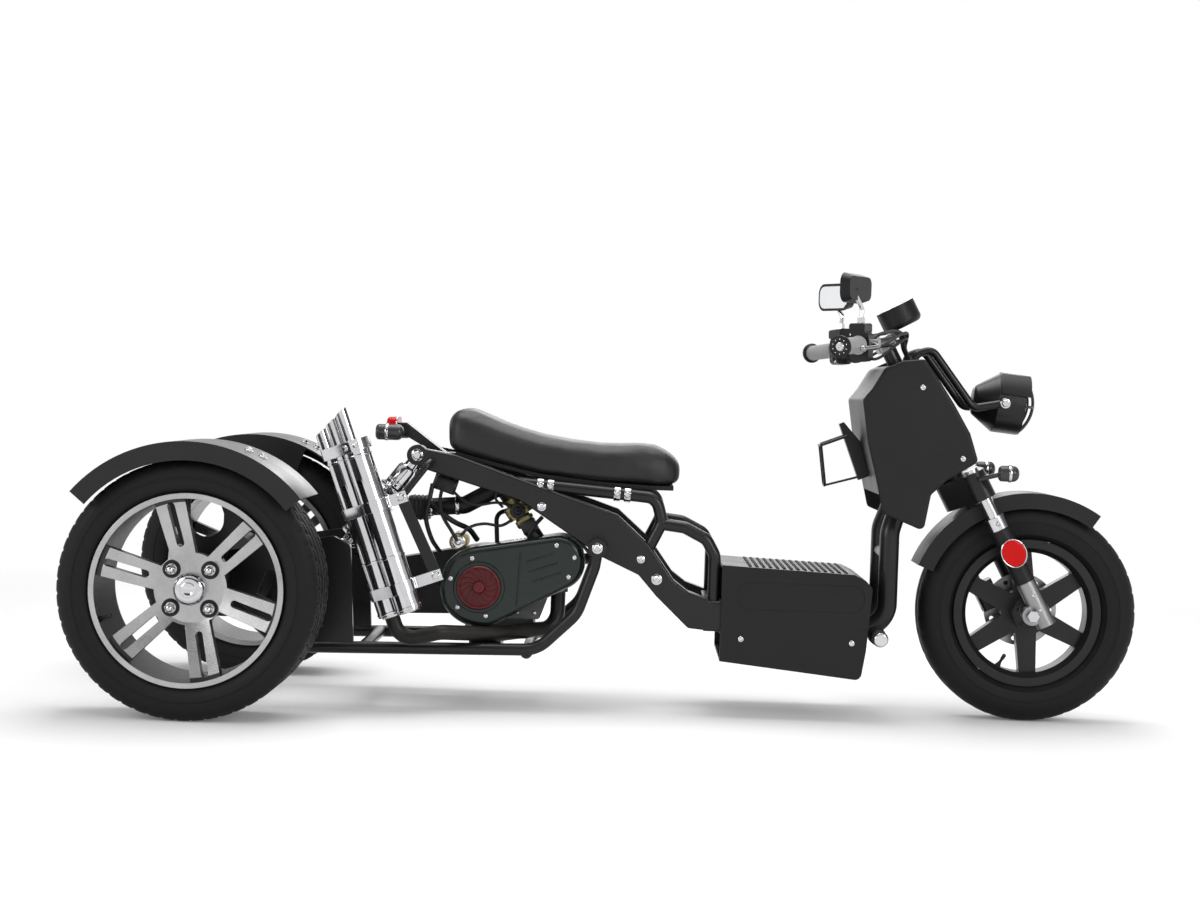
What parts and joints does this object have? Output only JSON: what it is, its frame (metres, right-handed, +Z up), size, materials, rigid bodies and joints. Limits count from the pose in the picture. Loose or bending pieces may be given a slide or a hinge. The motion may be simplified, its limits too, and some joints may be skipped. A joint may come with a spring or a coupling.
{
  "type": "three-wheeled motor scooter",
  "caption": "Low three-wheeled scooter with a raked front fork, open frame and engine, wide rear car-type wheels, flat footboard, leg shield and long seat.",
  "frame": {"origin": "on the ground, midway along the length, on the plane of symmetry", "axes": "+X forward, +Y to the rider's left, +Z up"},
  "size_m": [2.2469, 1.06, 0.9506],
  "materials": {
    "frame_black": "satin",
    "panel_black": "satin",
    "seat_vinyl": "grained",
    "chrome": "polished",
    "alloy": "machined",
    "hose_rubber": "matte",
    "dark_steel": "heat-darkened",
    "black_alloy": "satin",
    "disc_steel": "brushed",
    "tyre_rubber": "matte",
    "grip_rubber": "matte",
    "shroud_green": "satin",
    "fan_red": "gloss",
    "red_lens": "gloss",
    "signal_grey": "gloss",
    "clear_lens": "clear",
    "zinc_yellow": "plated",
    "brass": "cast"
  },
  "bodies": {
    "chassis": {"frame_rails": "frame_black", "front_frame": "frame_black", "engine_cradle": "frame_black", "axle_housing": "frame_black", "rear_shocks": "chrome", "rear_fenders": "frame_black", "leg_shield": "panel_black", "floor_box": "panel_black", "seat": "seat_vinyl", "seat_pan": "panel_black", "headlamp_bucket": "frame_black", "headlamp_lens": "clear_lens", "headlamp_grille": "chrome", "lamp_bracket": "frame_black", "tail_bracket": "frame_black", "tail_lamp": "red_lens", "rear_signals": "signal_grey", "engine_case": "alloy", "fan_shroud": "shroud_green", "fan_cover": "fan_red", "drive_case": "panel_black", "starter_motor": "zinc_yellow", "carburettor": "brass", "air_filter": "panel_black", "chain_case": "panel_black", "engine_hoses": "hose_rubber", "exhaust": "chrome", "exhaust_header": "dark_steel", "exhaust_clamps": "chrome", "exhaust_hanger": "frame_black", "foot_pegs": "chrome", "drink_holder": "frame_black"},
    "steering": {"fork_yoke": "frame_black", "fork_tubes": "chrome", "fork_covers": "panel_black", "fork_legs": "alloy", "front_axle": "chrome", "front_fender": "panel_black", "brake_caliper": "panel_black", "brake_hose": "hose_rubber", "reflectors": "red_lens", "handlebar": "alloy", "grips": "grip_rubber", "controls": "panel_black", "levers": "alloy", "speedometer": "panel_black", "mirror_stems": "alloy", "mirror_heads": "panel_black", "front_signals": "signal_grey"},
    "front_wheel": {"front_tyre": "tyre_rubber", "front_rim": "black_alloy", "brake_disc": "disc_steel"},
    "rear_wheel_right": {"rear_tyre_right": "tyre_rubber", "rear_rim_right": "alloy", "rear_hub_right": "chrome"},
    "rear_wheel_left": {"rear_tyre_left": "tyre_rubber", "rear_rim_left": "alloy", "rear_hub_left": "chrome"}
  },
  "joints": [
    {"name": "steer", "type": "hinge", "parent": "chassis", "child": "steering", "pos_m": [0.71751, 0, 0.52163], "axis": [-0.4695, 0, 0.8829], "range_deg": [-40, 40]},
    {"name": "front_wheel_spin", "type": "hinge", "parent": "steering", "child": "front_wheel", "pos_m": [0.8875, 0, 0.236], "axis": [0, 1, 0], "continuous": true},
    {"name": "rear_right_spin", "type": "hinge", "parent": "chassis", "child": "rear_wheel_right", "pos_m": [-0.8615, -0.398, 0.262], "axis": [0, 1, 0], "continuous": true},
    {"name": "rear_left_spin", "type": "hinge", "parent": "chassis", "child": "rear_wheel_left", "pos_m": [-0.8615, 0.398, 0.262], "axis": [0, 1, 0], "continuous": true}
  ]
}
